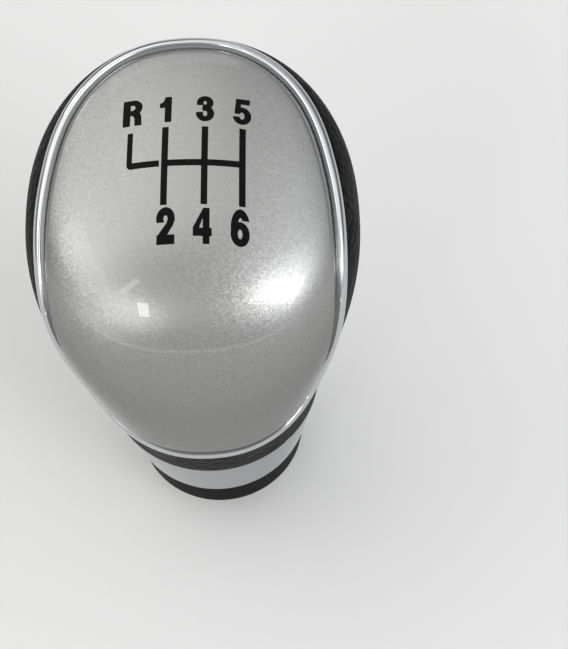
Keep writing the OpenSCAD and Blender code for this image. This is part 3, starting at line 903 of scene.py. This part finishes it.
def set_finish(shader, **values):
    for key, value in values.items():
        shader.inputs[key.replace("_", " ")].default_value = value

def effect_group(name, inputs, outputs):
    tree = bpy.data.node_groups.new(name, "ShaderNodeTree")
    for label, default in inputs:
        socket = tree.interface.new_socket(label, in_out="INPUT", socket_type="NodeSocketFloat")
        socket.default_value = default
    for label, kind in outputs:
        tree.interface.new_socket(label, in_out="OUTPUT", socket_type=kind)
    return tree, put(tree, "NodeGroupInput").outputs, put(tree, "NodeGroupOutput")

def use_group(tree, group, **values):
    node = tree.nodes.new("ShaderNodeGroup")
    node.node_tree = group
    for key, value in values.items():
        node.inputs[key].default_value = value
    return node

# %% Handling marks: where hands have dulled a surface a little
def handling_marks():
    tree, given, out = effect_group("handling_marks", [("Gloss", 0.1), ("Marks", 0.05),
                                    ("Size", 60.0)], [("Roughness", "NodeSocketFloat")])
    spot = put(tree, "ShaderNodeTexCoord").outputs["Object"]
    cloud = put(tree, "ShaderNodeTexNoise", {"Vector": spot, "Scale": given["Size"],
                "Detail": 4.0, "Roughness": 0.6})
    spread = put(tree, "ShaderNodeMapRange", {"Value": cloud.outputs[0], "From Min": 0.35,
                 "From Max": 0.75, "To Min": 0.0, "To Max": given["Marks"]})
    sum_up = put(tree, "ShaderNodeMath", {0: given["Gloss"], 1: spread.outputs[0]}, operation="ADD")
    tree.links.new(sum_up.outputs[0], out.inputs["Roughness"])
    return tree

# %% Fine grain: the pebbled skin of moulded plastic
SWAY_SCALE = 900.0
SWAY = 0.0006

def fine_grain():
    tree, given, out = effect_group("fine_grain", [("Size", 1300.0), ("Depth", 0.0001),
                                    ("Strength", 0.3)], [("Normal", "NodeSocketVector"),
                                    ("Hollows", "NodeSocketFloat")])
    spot = put(tree, "ShaderNodeTexCoord").outputs["Object"]
    sway = put(tree, "ShaderNodeTexNoise", {"Vector": spot, "Scale": SWAY_SCALE,
               "Detail": 2.0})
    push = put(tree, "ShaderNodeVectorMath", {0: sway.outputs["Color"], "Scale": SWAY},
               operation="SCALE")
    moved = put(tree, "ShaderNodeVectorMath", {0: spot, 1: push.outputs[0]}, operation="ADD")
    cells = put(tree, "ShaderNodeTexVoronoi", {"Vector": moved.outputs[0],
                "Scale": given["Size"]}, feature="SMOOTH_F1")
    relief = put(tree, "ShaderNodeBump", {"Strength": given["Strength"],
                 "Distance": given["Depth"], "Height": cells.outputs["Distance"]}, invert=True)
    tree.links.new(relief.outputs[0], out.inputs["Normal"])
    tree.links.new(cells.outputs["Distance"], out.inputs["Hollows"])
    return tree

MARKS = handling_marks()
GRAIN = fine_grain()

# %% Silver paint: flakes that lie at slightly different angles
FLAKE_SCALE = 4200.0
FLAKE_LEAN = 0.1
FLAKE_TONES = (0.88, 1.12)
SILVER_TONE = (0.29, 0.29, 0.286)

def silver_paint():
    material, tree, shader = new_material("silver_paint")
    spot = put(tree, "ShaderNodeTexCoord").outputs["Object"]
    flakes = put(tree, "ShaderNodeTexVoronoi", {"Vector": spot,
                 "Scale": FLAKE_SCALE})
    lean = put(tree, "ShaderNodeVectorMath", {0: flakes.outputs["Color"], 1: (0.5, 0.5, 0.5)},
               operation="SUBTRACT")
    small = put(tree, "ShaderNodeVectorMath", {0: lean.outputs[0], "Scale": FLAKE_LEAN},
                operation="SCALE")
    facing = put(tree, "ShaderNodeNewGeometry").outputs["Normal"]
    tilted = put(tree, "ShaderNodeVectorMath", {0: facing, 1: small.outputs[0]}, operation="ADD")
    flake_normal = put(tree, "ShaderNodeVectorMath", {0: tilted.outputs[0]},
                       operation="NORMALIZE")
    tree.links.new(flake_normal.outputs[0], shader.inputs["Normal"])
    channel = put(tree, "ShaderNodeSeparateColor", {"Color": flakes.outputs["Color"]})
    tone = put(tree, "ShaderNodeMapRange", {"Value": channel.outputs[0],
               "To Min": FLAKE_TONES[0], "To Max": FLAKE_TONES[1]})
    colour = put(tree, "ShaderNodeVectorMath", {0: SILVER_TONE, "Scale": tone.outputs[0]},
                 operation="SCALE")
    tree.links.new(colour.outputs[0], shader.inputs["Base Color"])
    marks = use_group(tree, MARKS, Gloss=0.36, Marks=0.06, Size=50.0)
    tree.links.new(marks.outputs[0], shader.inputs["Roughness"])
    set_finish(shader, Metallic=1.0, Specular_Tint=(0.1, 0.1, 0.1, 1), Coat_Weight=1.0,
               Coat_Roughness=0.02, Coat_IOR=1.47)
    return material

# %% The other finishes
def soft_grip():
    material, tree, shader = new_material("soft_grip")
    grain = use_group(tree, GRAIN, Size=800.0, Depth=0.0005, Strength=0.9)
    tree.links.new(grain.outputs["Normal"], shader.inputs["Normal"])
    # Painted light and shade: the base colour is lighter on the pebble tops and darker in the hollows
    # between them, following the grain's depth.
    tone = put(tree, "ShaderNodeMapRange", {"Value": grain.outputs["Hollows"], "From Max": 0.7,
               "To Min": 1.6, "To Max": 0.4})
    colour = put(tree, "ShaderNodeVectorMath", {0: (0.005, 0.005, 0.0052), "Scale": tone.outputs[0]},
                 operation="SCALE")
    tree.links.new(colour.outputs[0], shader.inputs["Base Color"])
    marks = use_group(tree, MARKS, Gloss=0.5, Marks=0.1, Size=70.0)
    tree.links.new(marks.outputs[0], shader.inputs["Roughness"])
    set_finish(shader, IOR=1.17, Specular_IOR_Level=0.5)
    return material

def satin_plastic(name, colour, gloss):
    material, tree, shader = new_material(name)
    grain = use_group(tree, GRAIN, Size=4000.0, Depth=0.00005, Strength=0.2)
    tree.links.new(grain.outputs["Normal"], shader.inputs["Normal"])
    marks = use_group(tree, MARKS, Gloss=gloss, Marks=0.1, Size=90.0)
    tree.links.new(marks.outputs[0], shader.inputs["Roughness"])
    set_finish(shader, Base_Color=colour, IOR=1.12, Specular_IOR_Level=0.5)
    return material

def bare_metal(name, colour, gloss, marks_depth):
    material, tree, shader = new_material(name)
    marks = use_group(tree, MARKS, Gloss=gloss, Marks=marks_depth, Size=80.0)
    tree.links.new(marks.outputs[0], shader.inputs["Roughness"])
    set_finish(shader, Base_Color=colour, Metallic=1.0)
    return material

def printing_ink():
    material, tree, shader = new_material("printing_ink")
    marks = use_group(tree, MARKS, Gloss=0.3, Marks=0.15, Size=200.0)
    tree.links.new(marks.outputs[0], shader.inputs["Roughness"])
    set_finish(shader, Base_Color=(0.002, 0.002, 0.002, 1), IOR=1.15,
               Specular_IOR_Level=0.5)
    return material

SILVER = silver_paint()
GRIP = soft_grip()
CHROME = bare_metal("bright_chrome", (0.53, 0.535, 0.55, 1), 0.03, 0.04)
# Painted shade: the skirt's chrome is a darker copy of the frame's chrome, standing in for darker
# surroundings in its reflection.
SHADED_SKIRT_CHROME = bare_metal("skirt_chrome", (0.34, 0.345, 0.36, 1), 0.03, 0.04)
RING_BLACK = satin_plastic("satin_black", (0.005, 0.005, 0.0055, 1), 0.45)
CORE_BLACK = satin_plastic("moulded_black", (0.006, 0.006, 0.006, 1), 0.5)
BRASS = bare_metal("turned_brass", (0.62, 0.43, 0.17, 1), 0.2, 0.15)
STEEL = bare_metal("spring_steel", (0.42, 0.42, 0.43, 1), 0.22, 0.15)
INK = printing_ink()
print("finishes:", ", ".join(sorted(material.name for material in bpy.data.materials)))

# %% Give each piece its finish
def dress(piece, material):
    piece.data.materials.clear()
    piece.data.materials.append(material)

for piece, material in ((grip, GRIP), (trim, CHROME), (face, SILVER), (skirt, SHADED_SKIRT_CHROME),
                        (spring, STEEL), (insert, BRASS), (pattern, INK)):
    dress(piece, material)
for name, material in (("core", CORE_BLACK), ("lift_ring", RING_BLACK), ("skirt_clip", STEEL)):
    for slot in nodes[name].material_slots:
        slot.material = material

# %% Hang the new pieces on the model
for piece, node, slot in ((grip, "grip_cover", "grip_soft"), (trim, "trim_ring", "trim_chrome"),
                          (face, "face_plate", "face_silver"), (skirt, "skirt", "skirt_chrome"),
                          (insert, "threaded_insert", "insert_brass"),
                          (spring, "return_spring", "spring_steel")):
    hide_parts(node)
    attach(piece, "handle")
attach(pattern, "handle")
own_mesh(spring)

# %% [markdown]
# ## The studio
# A pale floor, a plain grey surround with soft lighter and darker fields, and a few bright
# windows. A metal surface shows nothing but its surroundings, so these stand where the
# photograph's own windows are mirrored in the face. A thin bright strip stands low in front;
# its mirror image is the curved line across the lower face. The surround is a little warmer
# on the left than on the right. A bearing counts from the back of the knob toward its right
# side, and a height from the floor, both in degrees.

# %% Build the floor
FLOOR_REACH = 12.0
FLOOR_LEVEL = -0.0005
FLOOR_TONE = 0.54

def build_floor():
    mesh = bpy.data.meshes.new("floor")
    far, level = FLOOR_REACH, FLOOR_LEVEL
    mesh.from_pydata([(-far, -far, level), (far, -far, level), (far, far, level),
                      (-far, far, level)], [], [(0, 1, 2, 3)])
    floor = bpy.data.objects.new("floor", mesh)
    bpy.context.collection.objects.link(floor)
    material, tree, shader = new_material("pale_floor")
    set_finish(shader, Base_Color=(FLOOR_TONE, FLOOR_TONE, FLOOR_TONE, 1), Roughness=0.9,
               Specular_IOR_Level=0.1)
    floor.data.materials.append(material)
    return floor

floor = build_floor()

# %% Light the room
HORIZON = 0.62
ZENITH = 0.9
LEAST = 0.2
STRIP_GLOW = 1.4
STRIP_HEIGHTS = (0.02, 0.07)
STRIP_ENDS = (0.5, 0.9)
HAZE_TOP = 0.9
TINT_REACH = 0.8
WARM = (1.0, 0.992, 0.965, 1.0)
COOL = (0.975, 0.995, 1.0, 1.0)
FIELDS = [(-142, 34, 6, 22, 1.7), (128, 37, 8, 30, 1.6), (-55, 48, 15, 45, 1.25),
          (85, 55, 15, 45, 0.72), (-12, 66, 15, 42, -0.2), (180, 66, 15, 40, -0.3),
          (-32, 20, 12, 38, -0.5), (120, 10, 12, 40, 0.1), (-120, 10, 12, 40, 0.3),
          (60, 15, 12, 40, -0.4), (-75, 10, 5, 22, -0.6),
          (78, 6, 4, 16, -0.4), (-128, 5, 4, 20, 0.8)]

def toward(bearing, height):
    turn, rise = math.radians(bearing), math.radians(height)
    return Vector((math.sin(turn) * math.cos(rise), math.cos(turn) * math.cos(rise),
                   math.sin(rise)))

def light_world():
    world = bpy.data.worlds.new("surround")
    bpy.context.scene.world = world
    world.use_nodes = True
    tree = world.node_tree
    way = put(tree, "ShaderNodeTexCoord").outputs["Generated"]
    height = put(tree, "ShaderNodeSeparateXYZ", {0: way}).outputs["Z"]
    level = put(tree, "ShaderNodeMapRange", {"Value": height, "From Max": HAZE_TOP,
                "To Min": HORIZON, "To Max": ZENITH}, interpolation_type="SMOOTHSTEP").outputs["Result"]
    for bearing, rise, inner, outer, amount in FIELDS:
        facing = put(tree, "ShaderNodeVectorMath", {0: way, 1: toward(bearing, rise)},
                     operation="DOT_PRODUCT").outputs["Value"]
        field = put(tree, "ShaderNodeMapRange", {"Value": facing,
                    "From Min": math.cos(math.radians(outer)),
                    "From Max": math.cos(math.radians(inner)), "To Max": amount},
                    interpolation_type="SMOOTHSTEP").outputs["Result"]
        level = put(tree, "ShaderNodeMath", {0: level, 1: field}, operation="ADD").outputs[0]
    level = put(tree, "ShaderNodeMath", {0: level, 1: LEAST}, operation="MAXIMUM").outputs[0]
    low = put(tree, "ShaderNodeMapRange", {"Value": height, "From Min": STRIP_HEIGHTS[0],
              "From Max": STRIP_HEIGHTS[1], "To Min": STRIP_GLOW, "To Max": 0.0},
              interpolation_type="SMOOTHSTEP")
    facing = put(tree, "ShaderNodeVectorMath", {0: way, 1: toward(180, 0)},
                 operation="DOT_PRODUCT").outputs["Value"]
    front = put(tree, "ShaderNodeMapRange", {"Value": facing, "From Min": STRIP_ENDS[0],
                "From Max": STRIP_ENDS[1]}, interpolation_type="SMOOTHSTEP")
    strip = put(tree, "ShaderNodeMath", {0: low.outputs[0], 1: front.outputs[0]},
                operation="MULTIPLY")
    level = put(tree, "ShaderNodeMath", {0: level, 1: strip.outputs[0]},
                operation="ADD").outputs[0]
    tree.links.new(level, tree.nodes["Background"].inputs["Strength"])
    aside = put(tree, "ShaderNodeSeparateXYZ", {0: way}).outputs["X"]
    share = put(tree, "ShaderNodeMapRange", {"Value": aside, "From Min": -TINT_REACH,
                "From Max": TINT_REACH}, interpolation_type="SMOOTHSTEP").outputs["Result"]
    tint = put(tree, "ShaderNodeMix", {0: share, 6: WARM, 7: COOL}, data_type="RGBA").outputs[2]
    tree.links.new(tint, tree.nodes["Background"].inputs["Color"])

light_world()
print("surround with", len(FIELDS), "soft fields")

# %% Hang the windows
WINDOW_DISTANCE = 1.5

def window(name, bearing, height, wide, tall, lean, glow, colour=(1, 1, 1)):
    across = 2 * WINDOW_DISTANCE * math.tan(math.radians(wide / 2))
    upright = 2 * WINDOW_DISTANCE * math.tan(math.radians(tall / 2))
    light = bpy.data.lights.new(name, "AREA")
    light.shape = "RECTANGLE"
    light.size, light.size_y = across, upright
    light.energy = glow * math.pi * across * upright
    light.color = colour
    lamp = bpy.data.objects.new(name, light)
    way = toward(bearing, height)
    side = Vector((-math.cos(math.radians(bearing)), math.sin(math.radians(bearing)), 0))
    above = way.cross(side)
    cos, sin = math.cos(math.radians(lean)), math.sin(math.radians(lean))
    turn = Matrix((cos * side - sin * above, sin * side + cos * above, way)).transposed()
    spot = Vector((0, 0, HEAD_TOP * MM)) + way * WINDOW_DISTANCE
    lamp.matrix_world = Matrix.Translation(spot) @ turn.to_4x4()
    lamp.visible_camera = False
    bpy.context.collection.objects.link(lamp)
    return lamp

window("window_right", 131, 36, 20, 34, -36, 3.7)
window("window_left", -97, 38, 36, 26, 0, 0.9)
window("window_left_small", -152, 41, 5, 13, -20, 7.5)
window("window_left_slit", -132, 55, 3, 14, 0, 3.0)
window("window_left_low", -40, 22, 8, 6, 0, 3.0)
window("window_back", -9, 33, 34, 11, 0, 0.85, (0.95, 0.98, 1.0))
bpy.context.scene.view_settings.view_transform = "Standard"
print("lamps:", ", ".join(sorted(light.name for light in bpy.data.lights)))
